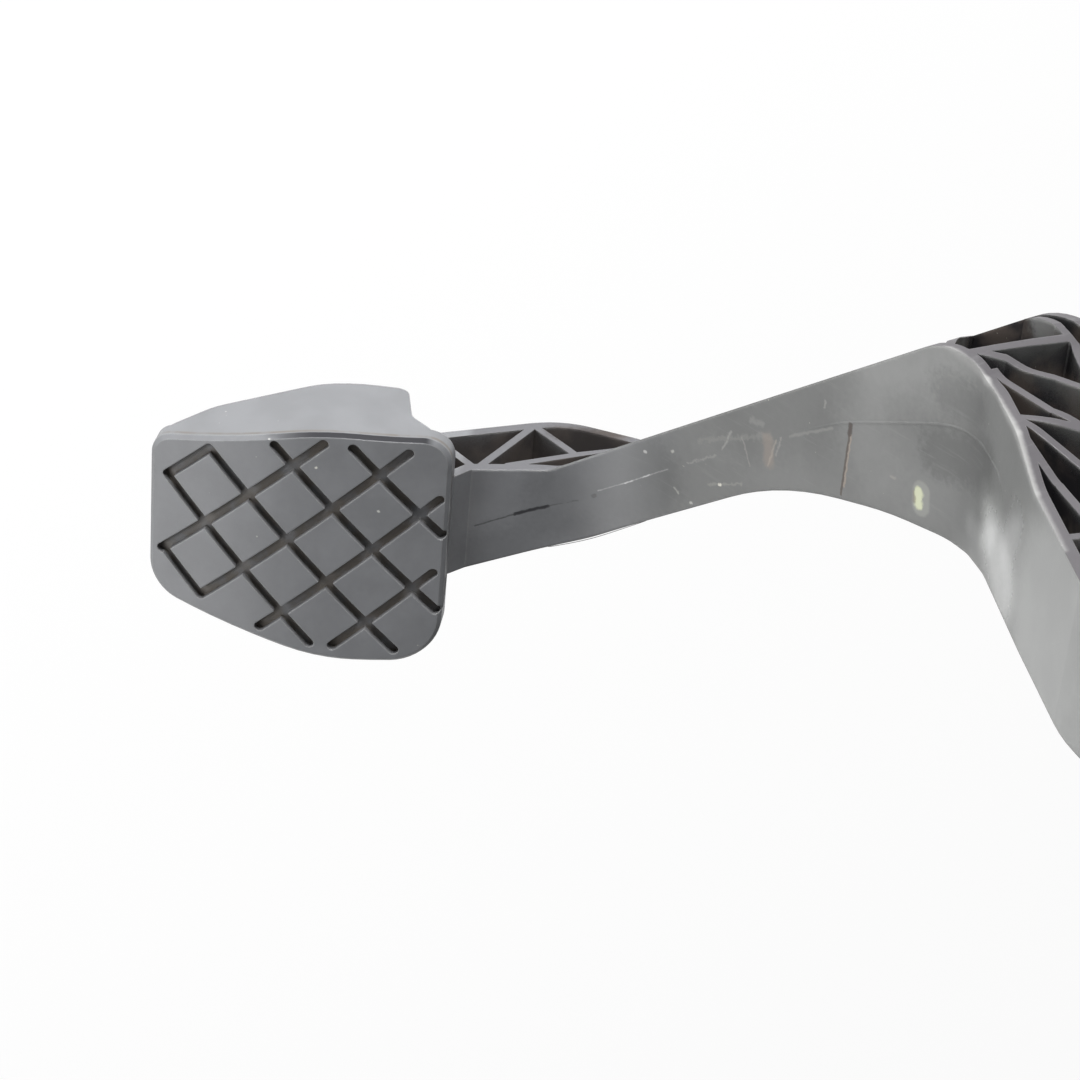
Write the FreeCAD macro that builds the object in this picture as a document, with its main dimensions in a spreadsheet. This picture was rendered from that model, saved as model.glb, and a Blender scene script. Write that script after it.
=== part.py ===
import FreeCAD, Part
import math
import os
import Sketcher

from FreeCAD import Placement, Rotation, Vector

# Hanging clutch pedal: a moulded lever with truss-ribbed arm and grooved pad, two flanged
# bushes and a steel sleeve. X runs along the pivot to the driver's right, Y forward, Z up,
# and the origin is the centre of the pivot. All sizes are millimetres and degrees.

SIZES = {
    # how the lever hangs from its pivot
    "hang_angle": -12.0,
    # pad: face radius, plate, box behind it and the place of its face centre
    "pad_drop": 262.0,
    "pad_setback": 16.0,
    "pad_right": 66.0,
    "pad_tilt": 42.0,
    "pad_face_radius": 102.0,
    "pad_plate_wall": 5.0,
    "pad_length_low": 32.5,
    "pad_length_high": 35.1,
    "pad_low_half_width": 19.4,
    "pad_high_half_width": 29.0,
    "pad_rim_bevel": 0.9,
    "box_depth": 26.5,
    "box_wall": 3.0,
    "box_end": 23.5,
    "box_rib_wall": 2.2,
    # diamond grooves
    "groove_pitch": 13.5,
    "groove_angle": 43.0,
    "groove_width": 2.3,
    "groove_depth": 1.7,
    # arm: its faces seen from the side, its edges seen from the driver
    "arm_rear_face": 46.9,
    "arm_front_face": 80.5,
    "strip_angle": 15.0,
    "knee_drop": 134.8,
    "bend_drop": 234.0,
    "shoulder_drop": 63.0,
    "arm_half_width": 14.3,
    "arm_low_left": 50.2,
    "arm_low_right": 80.4,
    "knee_left": -22.6,
    "knee_right": 20.1,
    "draft_angle": 2.9,
    # arm section
    "flange_wall": 2.6,
    "web_wall": 3.0,
    "rib_wall": 1.9,
    "smallest_cell": 6.0,
    # hub and push-rod eye
    "hub_radius": 16.0,
    "hub_width": 44.0,
    "lug_radius": 11.0,
    "lug_forward": 50.0,
    "lug_drop": 62.0,
    "lug_width": 32.0,
    "pushrod_bore": 5.1,
    # bushes and sleeve
    "sleeve_bore": 5.2,
    "sleeve_radius": 7.0,
    "sleeve_overhang": 0.3,
    "sleeve_chamfer": 0.6,
    "bush_wall": 2.0,
    "bush_length": 17.0,
    "bush_flange_radius": 13.0,
    "bush_flange_wall": 2.0,
    "running_gap": 0.05,
    "cut_reach": 400.0,
}

doc = FreeCAD.newDocument("ClutchPedal")
sheet = doc.addObject("Spreadsheet::Sheet", "Sizes")
for row, (word, amount) in enumerate(SIZES.items(), start=1):
    sheet.set(f"A{row}", word)
    sheet.set(f"B{row}", str(amount))
    sheet.setAlias(f"B{row}", word)
doc.recompute()


def size(word):
    return float(sheet.get(word))


ALONG_X = Vector(1, 0, 0)
SIDE = Placement(Vector(0, 0, 0), Rotation(Vector(0, 1, 0), Vector(0, 0, 1), ALONG_X, "XYZ"))
FRONT = Placement(Vector(0, 0, 0), Rotation(ALONG_X, Vector(0, 0, 1), Vector(0, -1, 0), "XYZ"))
TILT = math.radians(size("pad_tilt"))
PAD_ORIGIN = Vector(size("pad_right"), -size("pad_setback"), -size("pad_drop"))
PAD_LENGTH = Vector(0, math.sin(TILT), math.cos(TILT))
PAD_NORMAL = Vector(0, -math.cos(TILT), math.sin(TILT))
PAD_FACE = Placement(PAD_ORIGIN, Rotation(ALONG_X, PAD_LENGTH, PAD_NORMAL, "XYZ"))
PAD_SIDE = Placement(PAD_ORIGIN, Rotation(PAD_LENGTH, PAD_NORMAL, ALONG_X, "XYZ"))


def pad_point(along, out):
    """Side-view (y, z) of a point given along the pad and out of its face."""
    point = PAD_ORIGIN + PAD_LENGTH * along + PAD_NORMAL * out
    return point.y, point.z


def rounded(points):
    """Lines and tangent arcs round a closed outline of (x, y, corner radius)."""
    count = len(points)
    ends = []
    for index, (px, py, radius) in enumerate(points):
        here = Vector(px, py, 0)
        before = Vector(*points[index - 1][:2], 0) - here
        after = Vector(*points[(index + 1) % count][:2], 0) - here
        if radius <= 0:
            ends.append((here, None, here))
            continue
        before.normalize()
        after.normalize()
        half = before.getAngle(after) / 2
        reach = radius / math.tan(half)
        toward = before + after
        toward.normalize()
        centre = here + toward * (radius / math.sin(half))
        middle = centre - toward * radius
        ends.append((here + before * reach, middle, here + after * reach))
    shapes = []
    for index, (start, middle, end) in enumerate(ends):
        if middle is not None:
            shapes.append(Part.Arc(start, middle, end))
        following = ends[(index + 1) % count][0]
        if (following - end).Length > 1e-6:
            shapes.append(Part.LineSegment(end, following))
    return shapes


def outline(name, points, placement):
    sketch = doc.addObject("Sketcher::SketchObject", name)
    sketch.addGeometry(rounded(points), False)
    sketch.Placement = placement
    return sketch


def prism(name, base, direction, length_word="cut_reach"):
    block = doc.addObject("Part::Extrusion", name)
    block.Base = base
    block.DirMode = "Custom"
    block.Dir = direction
    block.setExpression("LengthFwd", f"Sizes.{length_word}")
    block.Symmetric = True
    block.Solid = True
    return block


def inset(name, source, *words):
    ring = doc.addObject("Part::Offset2D", name)
    ring.Source = source
    ring.setExpression("Value", "-(" + " + ".join(f"Sizes.{word}" for word in words) + ")")
    return ring


def combine(kind, name, *parts):
    result = doc.addObject(kind, name)
    if kind == "Part::MultiFuse" or kind == "Part::MultiCommon":
        result.Shapes = list(parts)
    else:
        result.Base, result.Tool = parts
    return result


def cylinder(name, radius_word, length_word, centre_y=None, centre_z=None):
    """A cylinder along X, centred on the lever's middle plane."""
    rod = doc.addObject("Part::Cylinder", name)
    rod.setExpression("Radius", f"Sizes.{radius_word}")
    rod.setExpression("Height", f"Sizes.{length_word}")
    rod.Placement = Placement(Vector(0, 0, 0), Rotation(Vector(0, 1, 0), 90))
    rod.setExpression("Placement.Base.x", f"-Sizes.{length_word} / 2")
    if centre_y:
        rod.setExpression("Placement.Base.y", centre_y)
        rod.setExpression("Placement.Base.z", centre_z)
    return rod


# Outlines of the arm. Seen from the driver it jogs to the left between the pad and the knee.

KNEE = -size("knee_drop")
BEND = -size("bend_drop")
SHOULDER = -size("shoulder_drop")
REACH = size("cut_reach")


def side_points():
    """Arm seen from the side: driver's face up the back, engine side down the front."""
    start = size("box_end") - size("box_wall")
    rear = size("arm_rear_face")
    front = size("arm_front_face")
    lean = TILT + math.radians(size("strip_angle"))
    pad_y, pad_z = pad_point(34.0, -14.0)
    run = (rear - pad_y) / math.sin(lean)
    lug = Vector(size("lug_forward"), -size("lug_drop"), 0)
    hub = size("hub_radius")
    eye = size("lug_radius")
    return [
        (*pad_point(start, -6.0), 0),
        (*pad_point(35.0, -10.5), 0),
        (*pad_point(38.5, -15.2), 0),
        (rear, pad_z + run * math.cos(lean), 34.0),
        (rear + 0.3, KNEE + 10.2, 22.0),
        (0.375 * hub, SHOULDER, 40.0),
        (-0.97 * hub, -0.24 * hub, 0),
        (-0.25 * hub, 0.75 * hub, 0),
        (0.816 * hub, 0.577 * hub, 0),
        (lug.x + 0.9 * eye, lug.y + 0.48 * eye, 0),
        (front, KNEE + 12.6, 25.0),
        (front, KNEE - 30.4, 80.0),
        (*pad_point(76.9, -41.1), 30.0),
        (*pad_point(55.9, -44.8), 18.0),
        (*pad_point(start, -size("box_depth") + 0.5), 0),
    ]


def left_points():
    """Driver's-left edge of the arm from below the pad up past the hub."""
    half = size("arm_half_width")
    hub = size("hub_width") / 2
    return [
        (size("arm_low_left"), -REACH, 0),
        (size("arm_low_left"), BEND, 3.0),
        (size("knee_left"), KNEE, 16.0),
        (size("knee_left") + 4.6, KNEE + 11.3, 8.0),
        (size("knee_left") + 4.5, KNEE + 27.8, 14.0),
        (-half + 0.3, KNEE + 41.3, 14.0),
        (-half, SHOULDER + 15.0, 20.0),
        (-hub, -26.0, 0),
        (-hub, 40.0, 0),
    ]


def right_points():
    """Driver's-right edge of the arm from the hub down past the pad."""
    half = size("arm_half_width")
    hub = size("hub_width") / 2
    return [
        (hub, 40.0, 0),
        (hub, -26.0, 0),
        (half, SHOULDER + 15.0, 20.0),
        (half + 1.5, KNEE + 46.8, 30.0),
        (half + 1.4, KNEE + 24.0, 15.0),
        (size("knee_right") - 1.3, KNEE + 11.3, 20.0),
        (size("knee_right") + 1.0, KNEE - 9.8, 90.0),
        (size("knee_right") + 8.4, KNEE - 39.5, 87.0),
        (size("arm_low_right") - 14.3, BEND + 8.0, 60.0),
        (size("arm_low_right"), BEND - 18.0, 0),
        (size("arm_low_right"), -REACH, 0),
    ]


def draft_points():
    """Edge of the drafted left side, which keeps its knee above that of the driver's face."""
    knee = size("knee_left") + 0.8
    return [
        (size("arm_low_left"), -REACH, 0),
        (size("arm_low_left"), BEND, 3.0),
        (knee, KNEE - 1.1, 20.0),
        (knee, 40.0, 0),
        (REACH, 40.0, 0),
        (REACH, -REACH, 0),
    ]


def web_points():
    """Band of the middle web, half way between the arm's two edges."""
    low = (size("arm_low_left") + size("arm_low_right")) / 2
    knee = (size("knee_left") + size("knee_right")) / 2
    middle = [(low, -REACH), (low, BEND - 18.0), (low - 5.0, BEND), (knee + 14.0, KNEE - 32.4),
              (knee, KNEE), (0.0, KNEE + 44.0), (0.0, REACH)]
    half = size("web_wall") / 2
    left = []
    right = []
    for index, (px, pz) in enumerate(middle):
        before = Vector(*middle[max(index - 1, 0)], 0)
        after = Vector(*middle[min(index + 1, len(middle) - 1)], 0)
        along = after - before
        along.normalize()
        left.append((px - along.y * half, pz + along.x * half, 0))
        right.append((px + along.y * half, pz - along.x * half, 0))
    return left + right[::-1]


TRUSS = [
    # lower arm
    ((23.4, -263.0), (22.0, -243.0)),
    ((23.0, -243.6), (50.0, -253.2)),
    ((46.7, -254.5), (45.6, -236.4)),
    ((29.0, -240.9), (72.0, -228.8)),
    # middle arm, hidden from the driver's left
    ((70.0, -230.0), (44.0, -206.0)),
    ((44.0, -206.0), (76.0, -190.0)),
    ((76.0, -190.0), (44.0, -173.0)),
    ((44.0, -173.0), (80.0, -157.0)),
    ((80.0, -157.0), (46.0, -135.0)),
    # round end of the upper pocket
    ((76.0, -140.0), (73.6, -129.6)),
    ((73.6, -130.4), (72.9, -125.0)),
    ((73.3, -125.6), (61.0, -109.2)),
    # knee to push-rod eye and hub
    ((46.0, -132.4), (73.5, -126.7)),
    ((50.2, -131.4), (54.9, -127.2)),
    ((54.6, -127.8), (59.2, -118.4)),
    ((59.0, -119.0), (69.0, -81.5)),
    ((49.9, -126.0), (47.8, -108.5)),
    ((47.8, -109.5), (50.6, -101.5)),
    ((36.5, -114.5), (73.0, -80.8)),
    ((39.4, -112.0), (45.2, -64.0)),
    ((36.4, -106.0), (32.6, -93.0)),
    ((32.9, -93.4), (-2.5, -14.0)),
    ((48.0, -62.0), (2.0, -6.0)),
    ((10.0, -83.0), (50.0, -67.0)),
]


def truss_cells(inner):
    """Pockets between the truss ribs as one set of prisms."""
    pockets = Part.Face(inner.Shape.Wires[0])
    half = size("rib_wall") / 2
    bars = []
    for (y1, z1), (y2, z2) in TRUSS:
        along = Vector(0, y2 - y1, z2 - z1)
        along.normalize()
        across = Vector(0, -along.z, along.y) * half
        first = Vector(0, y1, z1)
        last = Vector(0, y2, z2)
        bars.append(Part.Face(Part.makePolygon(
            [first + across, last + across, last - across, first - across, first + across])))
    pockets = pockets.cut(bars)
    prisms = []
    for face in pockets.Faces:
        if face.Area < size("smallest_cell"):
            continue
        face.translate(Vector(-REACH / 2, 0, 0))
        prisms.append(face.extrude(Vector(REACH, 0, 0)))
    cells = doc.addObject("Part::Feature", "TrussCells")
    cells.Shape = Part.makeCompound(prisms)
    return cells


# The pad: a domed, grooved plate on a box that the arm grows out of.


def pad_outline_points():
    low = size("pad_length_low")
    high = size("pad_length_high")
    narrow = size("pad_low_half_width")
    wide = size("pad_high_half_width")
    return [
        (-narrow, -low, 6.0),
        (narrow + 0.5, -low, 9.0),
        (wide + 1.4, 8.0, 60.0),
        (wide + 1.0, high, 11.0),
        (-wide + 1.6, high, 7.0),
        (-wide + 0.6, 7.0, 60.0),
    ]


def box_points():
    """Side of the box behind the plate, in pad coordinates: deepest where the arm joins."""
    deep = size("box_depth")
    end = size("box_end")
    low = -size("pad_length_low") - 2.0
    return [
        (low, 12.0, 0),
        (low, -4.0, 0),
        (-21.0, -17.0, 12.0),
        (1.0, -deep + 1.8, 30.0),
        (end - 2.0, -deep, 3.0),
        (end + 1.0, -14.0, 4.0),
        (end + 9.0, -7.0, 0),
        (end + 9.0, 12.0, 0),
    ]


def hollow_points():
    """Side of the space inside the box, which is open towards the engine."""
    wall = size("box_wall")
    low = -size("pad_length_low") + wall
    end = size("box_end") - wall
    return [(low, 12.0, 0), (low, -60.0, 0), (end, -60.0, 0), (end, 12.0, 0)]


GROOVES = [
    # lattice row, first and last end along the groove
    ("rising", -2, -13.5, 0.0),
    ("rising", -1, -27.6, 22.6),
    ("rising", 0, -27.0, 35.3),
    ("rising", 1, -20.2, 32.5),
    ("rising", 2, -9.7, 19.3),
    ("falling", -2, -13.5, 0.0),
    ("falling", -1, -27.0, 23.2),
    ("falling", 0, -27.0, 36.7),
    ("falling", 1, -19.6, 34.9),
    ("falling", 2, -8.7, 20.7),
]


def groove_cutter():
    """Round-ended slots that reach one depth below the curved face."""
    pitch = size("groove_pitch")
    angle = math.radians(size("groove_angle"))
    half = size("groove_width") / 2
    rising = Vector(-math.sin(angle), math.cos(angle), 0)
    falling = Vector(math.cos(angle), math.sin(angle), 0)
    reach = Vector(0, 0, 12)
    slots = []
    for way, lattice, first, last in GROOVES:
        along, across = (rising, falling) if way == "rising" else (falling, rising)
        start = across * (lattice * pitch) + along * first
        end = across * (lattice * pitch) + along * last
        side = Vector(-along.y, along.x, 0) * half
        start -= reach
        end -= reach
        wire = Part.Wire([
            Part.LineSegment(start + side, end + side).toShape(),
            Part.Arc(end + side, end + along * half, end - side).toShape(),
            Part.LineSegment(end - side, start - side).toShape(),
            Part.Arc(start - side, start - along * half, start + side).toShape(),
        ])
        slots.append(Part.Face(wire).extrude(reach * 2))
    lattice_solid = slots[0].fuse(slots[1:])
    cutter = doc.addObject("Part::Feature", "GrooveSlots")
    cutter.Shape = lattice_solid
    cutter.Placement = PAD_FACE
    return cutter


def pad_cylinder(name, expression):
    """A cylinder along X whose top touches the pad face, or lies below it."""
    rod = doc.addObject("Part::Cylinder", name)
    rod.setExpression("Radius", expression)
    rod.setExpression("Height", "Sizes.cut_reach")
    centre = PAD_ORIGIN - PAD_NORMAL * size("pad_face_radius") - ALONG_X * (size("cut_reach") / 2)
    rod.Placement = Placement(centre, Rotation(Vector(0, 1, 0), 90))
    return rod


def bevel_rim(domed):
    """Bevels the edge all round the curved pad face."""
    doc.recompute()
    centre = PAD_ORIGIN - PAD_NORMAL * size("pad_face_radius")
    rim = []
    for number, edge in enumerate(domed.Shape.Edges, start=1):
        middle = edge.valueAt((edge.FirstParameter + edge.LastParameter) / 2)
        ends = [vertex.Point for vertex in edge.Vertexes] + [middle]
        drops = [abs(math.hypot(point.y - centre.y, point.z - centre.z) - size("pad_face_radius"))
                 for point in ends]
        if max(drops) < 1e-3:
            rim.append((number, size("pad_rim_bevel"), size("pad_rim_bevel")))
    bevel = doc.addObject("Part::Chamfer", "PadRim")
    bevel.Base = domed
    bevel.Edges = rim
    return bevel


def box_rib(name, thin, corner):
    """A wall across the space inside the box, given by its lowest corner on the pad."""
    rib = doc.addObject("Part::Box", name)
    for side in ("Length", "Width", "Height"):
        rib.setExpression(side, "Sizes.box_rib_wall" if side == thin else "Sizes.cut_reach")
    rib.Placement = Placement(PAD_FACE.multVec(corner), PAD_FACE.Rotation)
    return rib


def pad():
    face = outline("PadOutline", pad_outline_points(), PAD_FACE)
    column = doc.addObject("Part::Extrusion", "PadColumn")
    column.Base = face
    column.DirMode = "Custom"
    column.Dir = PAD_NORMAL
    column.LengthFwd = 10.0
    column.setExpression("LengthRev", "Sizes.box_depth + 6")
    column.Solid = True
    dome = pad_cylinder("FaceDome", "Sizes.pad_face_radius")
    under = pad_cylinder("UnderDome", "Sizes.pad_face_radius - Sizes.pad_plate_wall")
    floor = pad_cylinder("GrooveFloor", "Sizes.pad_face_radius - Sizes.groove_depth")
    domed = bevel_rim(combine("Part::MultiCommon", "DomedColumn", column, dome))
    plate = combine("Part::Cut", "PadPlate", domed, under)
    box_side = prism("BoxSide", outline("BoxOutline", box_points(), PAD_SIDE), ALONG_X)
    box = combine("Part::MultiCommon", "PadBox", domed, box_side)
    hollow_face = inset("HollowOutline", face, "box_wall")
    hollow_column = doc.addObject("Part::Extrusion", "HollowColumn")
    hollow_column.Base = hollow_face
    hollow_column.DirMode = "Custom"
    hollow_column.Dir = PAD_NORMAL
    hollow_column.LengthFwd = 10.0
    hollow_column.setExpression("LengthRev", "Sizes.box_depth + 12")
    hollow_column.Solid = True
    hollow_side = prism("HollowSide", outline("HollowSideOutline", hollow_points(), PAD_SIDE), ALONG_X)
    hollow = combine("Part::MultiCommon", "Hollow", hollow_column, hollow_side, under)
    ribs = [box_rib("BoxRibLeft", "Length", Vector(-14.0, -REACH / 2, -REACH / 2)),
            box_rib("BoxRibRight", "Length", Vector(10.0, -REACH / 2, -REACH / 2)),
            box_rib("BoxRibLow", "Width", Vector(-REACH / 2, -12.0, -REACH / 2)),
            box_rib("BoxRibMiddle", "Width", Vector(-REACH / 2, 5.0, -REACH / 2))]
    hollow_cells = combine("Part::Cut", "HollowCells", hollow, combine("Part::MultiFuse", "BoxRibs", *ribs))
    shell = combine("Part::Cut", "PadShell", combine("Part::MultiFuse", "PadSolid", plate, box), hollow_cells)
    slots = combine("Part::Cut", "GrooveTool", groove_cutter(), floor)
    return combine("Part::Cut", "GroovedPad", shell, slots)


def lever():
    side = outline("ArmSide", side_points(), SIDE)
    front = outline("ArmFront", left_points() + right_points(), FRONT)
    draft = outline("ArmDraft", draft_points(), Placement(
        Vector(0, size("arm_rear_face"), 0), FRONT.Rotation))
    cell_ring = inset("CellOutline", side, "flange_wall")
    web = outline("WebBand", web_points(), FRONT)
    doc.recompute()
    across = Vector(0, 1, 0)
    slant = Vector(math.tan(math.radians(size("draft_angle"))), 1, 0)
    arm = combine("Part::MultiCommon", "ArmBody", prism("ArmSidePrism", side, ALONG_X),
                  prism("ArmFrontPrism", front, across), prism("ArmDraftPrism", draft, slant))
    cells = combine("Part::Cut", "CellCut", truss_cells(cell_ring), prism("WebPrism", web, across))
    ribbed = combine("Part::Cut", "ArmRibbed", arm, cells)
    hub = cylinder("HubBoss", "hub_radius", "hub_width")
    lug = cylinder("EyeBoss", "lug_radius", "lug_width", "Sizes.lug_forward", "-Sizes.lug_drop")
    solid = combine("Part::MultiFuse", "LeverSolid", ribbed, pad(), hub, lug)
    bore = cylinder("HubBore", "hub_radius", "cut_reach")
    bore.setExpression("Radius", "Sizes.sleeve_radius + Sizes.running_gap + Sizes.bush_wall")
    eye = cylinder("EyeBore", "pushrod_bore", "cut_reach", "Sizes.lug_forward", "-Sizes.lug_drop")
    finished = combine("Part::Cut", "PedalLever", solid, combine("Part::MultiFuse", "Bores", bore, eye))
    finished.setExpression("Placement.Rotation.Angle", "Sizes.hang_angle")
    finished.Placement = Placement(Vector(0, 0, 0), Rotation(ALONG_X, size("hang_angle")))
    finished.Label = "pedal_lever"
    return finished


def plane(body, role):
    return next(item for item in body.Origin.OriginFeatures if item.Role == role)


def body_sketch(body, name, role):
    sketch = body.newObject("Sketcher::SketchObject", name)
    sketch.AttachmentSupport = [(plane(body, role), "")]
    sketch.MapMode = "FlatFace"
    return sketch


def bush(label, turned):
    """A flanged bush: the L-shaped section is turned about the pivot axis."""
    body = doc.addObject("PartDesign::Body", label.title().replace("_", ""))
    section = body_sketch(body, label + "_section", "XY_Plane")
    inner = size("sleeve_radius") + size("running_gap")
    outer = inner + size("bush_wall")
    face = size("hub_width") / 2
    tip = face - size("bush_length")
    far = face + size("bush_flange_wall")
    rim = size("bush_flange_radius")
    corners = [(tip, inner), (tip, outer), (face, outer), (face, rim), (far, rim), (far, inner)]
    for index, (px, py) in enumerate(corners):
        qx, qy = corners[(index + 1) % len(corners)]
        section.addGeometry(Part.LineSegment(Vector(px, py, 0), Vector(qx, qy, 0)), False)
    distances = ["Sizes.hub_width / 2 - Sizes.bush_length", "Sizes.sleeve_radius + Sizes.running_gap",
                 "Sizes.hub_width / 2 - Sizes.bush_length",
                 "Sizes.sleeve_radius + Sizes.running_gap + Sizes.bush_wall",
                 "Sizes.hub_width / 2", "Sizes.sleeve_radius + Sizes.running_gap + Sizes.bush_wall",
                 "Sizes.hub_width / 2", "Sizes.bush_flange_radius",
                 "Sizes.hub_width / 2 + Sizes.bush_flange_wall", "Sizes.bush_flange_radius",
                 "Sizes.hub_width / 2 + Sizes.bush_flange_wall", "Sizes.sleeve_radius + Sizes.running_gap"]
    bind_corners(section, corners, distances)
    turn = body.newObject("PartDesign::Revolution", label + "_turned")
    turn.Profile = section
    turn.ReferenceAxis = (section, ["H_Axis"])
    turn.Angle = 360.0
    body.Placement = Placement(Vector(0, 0, 0), Rotation(Vector(0, 0, 1), 180.0 if turned else 0.0))
    body.Label = label
    return body


def bind_corners(sketch, corners, distances):
    """Joins the lines of a section and ties each corner to its two sizes."""
    count = len(corners)
    for index in range(count):
        sketch.addConstraint(Sketcher.Constraint("Coincident", index, 2, (index + 1) % count, 1))
    for index, (px, py) in enumerate(corners):
        number = sketch.addConstraint(Sketcher.Constraint("DistanceX", -1, 1, index, 1, px))
        sketch.setExpression(f"Constraints[{number}]", distances[2 * index])
        number = sketch.addConstraint(Sketcher.Constraint("DistanceY", -1, 1, index, 1, py))
        sketch.setExpression(f"Constraints[{number}]", distances[2 * index + 1])


def sleeve():
    """The steel sleeve that the bracket's bolt clamps: a tube with chamfered ends."""
    body = doc.addObject("PartDesign::Body", "PivotSleeve")
    ring = body_sketch(body, "sleeve_ring", "YZ_Plane")
    for number, word in enumerate(("sleeve_radius", "sleeve_bore")):
        ring.addGeometry(Part.Circle(Vector(0, 0, 0), Vector(0, 0, 1), size(word)), False)
        ring.addConstraint(Sketcher.Constraint("Coincident", number, 3, -1, 1))
        bound = ring.addConstraint(Sketcher.Constraint("Radius", number, size(word)))
        ring.setExpression(f"Constraints[{bound}]", f"Sizes.{word}")
    tube = body.newObject("PartDesign::Pad", "sleeve_tube")
    tube.Profile = ring
    tube.setExpression("Length", "Sizes.hub_width + 2 * (Sizes.bush_flange_wall + Sizes.sleeve_overhang)")
    tube.Midplane = True
    doc.recompute()
    ends = []
    for number, edge in enumerate(tube.Shape.Edges, start=1):
        if edge.Curve.TypeId == "Part::GeomCircle" and abs(edge.Curve.Radius - size("sleeve_radius")) < 1e-6:
            ends.append(f"Edge{number}")
    bevel = body.newObject("PartDesign::Chamfer", "sleeve_bevel")
    bevel.Base = (tube, ends)
    bevel.setExpression("Size", "Sizes.sleeve_chamfer")
    body.Label = "pivot_sleeve"
    return body


def main():
    nodes = [lever(), bush("pivot_bush_right", False), bush("pivot_bush_left", True), sleeve()]
    doc.recompute()
    for item in doc.Objects:
        if "Invalid" in item.State or "Error" in item.State:
            raise RuntimeError(f"{item.Label}: {item.State}")
    os.makedirs("parts", exist_ok=True)
    for node in nodes:
        shape = node.Shape
        if shape.isNull() or not shape.isValid():
            raise RuntimeError(f"{node.Label} has no valid shape")
        shape.exportStep(f"parts/{node.Label}.step")
        box = shape.BoundBox
        print(node.Label, len(shape.Solids), round(shape.Volume), [round(value, 1) for value in (
            box.XMin, box.XMax, box.YMin, box.YMax, box.ZMin, box.ZMax)], shape.CenterOfGravity)


main()
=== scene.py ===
# Hanging clutch pedal: finishes, marks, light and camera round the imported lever.
import math
import random
import bpy
from mathutils import Euler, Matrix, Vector
from mathutils.bvhtree import BVHTree


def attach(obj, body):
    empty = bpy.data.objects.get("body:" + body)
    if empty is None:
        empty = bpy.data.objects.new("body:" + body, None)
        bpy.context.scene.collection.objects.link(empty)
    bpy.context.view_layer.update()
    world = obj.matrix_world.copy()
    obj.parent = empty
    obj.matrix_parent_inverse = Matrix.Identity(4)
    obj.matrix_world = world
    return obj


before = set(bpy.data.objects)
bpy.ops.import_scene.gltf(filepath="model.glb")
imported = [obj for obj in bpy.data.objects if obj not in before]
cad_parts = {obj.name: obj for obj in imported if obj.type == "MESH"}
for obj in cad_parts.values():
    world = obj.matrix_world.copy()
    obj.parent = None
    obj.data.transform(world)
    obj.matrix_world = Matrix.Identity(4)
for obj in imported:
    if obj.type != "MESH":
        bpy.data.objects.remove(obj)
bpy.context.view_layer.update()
mm = 0.001
print("frame loaded:", ", ".join(sorted(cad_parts)))

# how the pad lies in the row frame; the lever hangs turned by hang degrees about its pivot
padPlace = {
    "hang": -12.0,
    "tilt": 42.0,
    "centre": (66.0, -16.0, -262.0),
    "faceRadius": 102.0,
}


def hung(point):
    turn = Euler((math.radians(padPlace["hang"]), 0, 0)).to_matrix()
    return turn @ Vector(point)


padTilt = math.radians(padPlace["tilt"])
padCentre = hung(padPlace["centre"]) * mm
padAlong = hung((0, math.sin(padTilt), math.cos(padTilt)))
padOut = hung((0, -math.cos(padTilt), math.sin(padTilt)))


# node helpers
def put(tree, kind, at, **settings):
    node = tree.nodes.new(kind)
    node.location = at
    for word, value in settings.items():
        setattr(node, word, value)
    return node


def newGroup(name, inputs, outputs):
    group = bpy.data.node_groups.new(name, "ShaderNodeTree")
    for word, kind, value in inputs:
        socket = group.interface.new_socket(word, in_out="INPUT", socket_type=kind)
        if value is not None:
            socket.default_value = value
    for word, kind in outputs:
        group.interface.new_socket(word, in_out="OUTPUT", socket_type=kind)
    return group, put(group, "NodeGroupInput", (-1200, 0)), put(group, "NodeGroupOutput", (800, 0))


def place(tree, group, at, **values):
    node = put(tree, "ShaderNodeGroup", at, node_tree=group)
    for word, value in values.items():
        node.inputs[word].default_value = value
    return node


# clamps are separate nodes, since the renderer puts off its own ones and then runs out of room
# for this many marks
def calc(tree, operation, first, second, at, clamp=False):
    if clamp:
        atLeast = calc(tree, "MAXIMUM", calc(tree, operation, first, second, at), 0.0, at)
        return calc(tree, "MINIMUM", atLeast, 1.0, at)
    node = put(tree, "ShaderNodeMath", at, operation=operation)
    for socket, value in zip(node.inputs, (first, second)):
        if isinstance(value, (int, float)):
            socket.default_value = value
        else:
            tree.links.new(value, socket)
    return node.outputs[0]


def ramp(tree, value, low, high, at):
    node = put(tree, "ShaderNodeMapRange", at, interpolation_type="SMOOTHSTEP", clamp=False)
    node.inputs["From Min"].default_value = low
    node.inputs["From Max"].default_value = high
    tree.links.new(value, node.inputs["Value"])
    return node.outputs[0]


def noise(tree, where, scale, detail, roughness, at):
    node = put(tree, "ShaderNodeTexNoise", at)
    node.inputs["Scale"].default_value = scale
    node.inputs["Detail"].default_value = detail
    node.inputs["Roughness"].default_value = roughness
    tree.links.new(where, node.inputs["Vector"])
    return node.outputs["Fac"]


def blendColor(tree, mask, first, second, at, kind="MIX"):
    node = put(tree, "ShaderNodeMix", at, data_type="RGBA", blend_type=kind)
    for socket, value in ((node.inputs[0], mask), (node.inputs[6], first), (node.inputs[7], second)):
        if isinstance(value, (tuple, list)):
            socket.default_value = (*value, 1)
        elif isinstance(value, (int, float)):
            socket.default_value = value
        else:
            tree.links.new(value, socket)
    return node.outputs[2]


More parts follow.
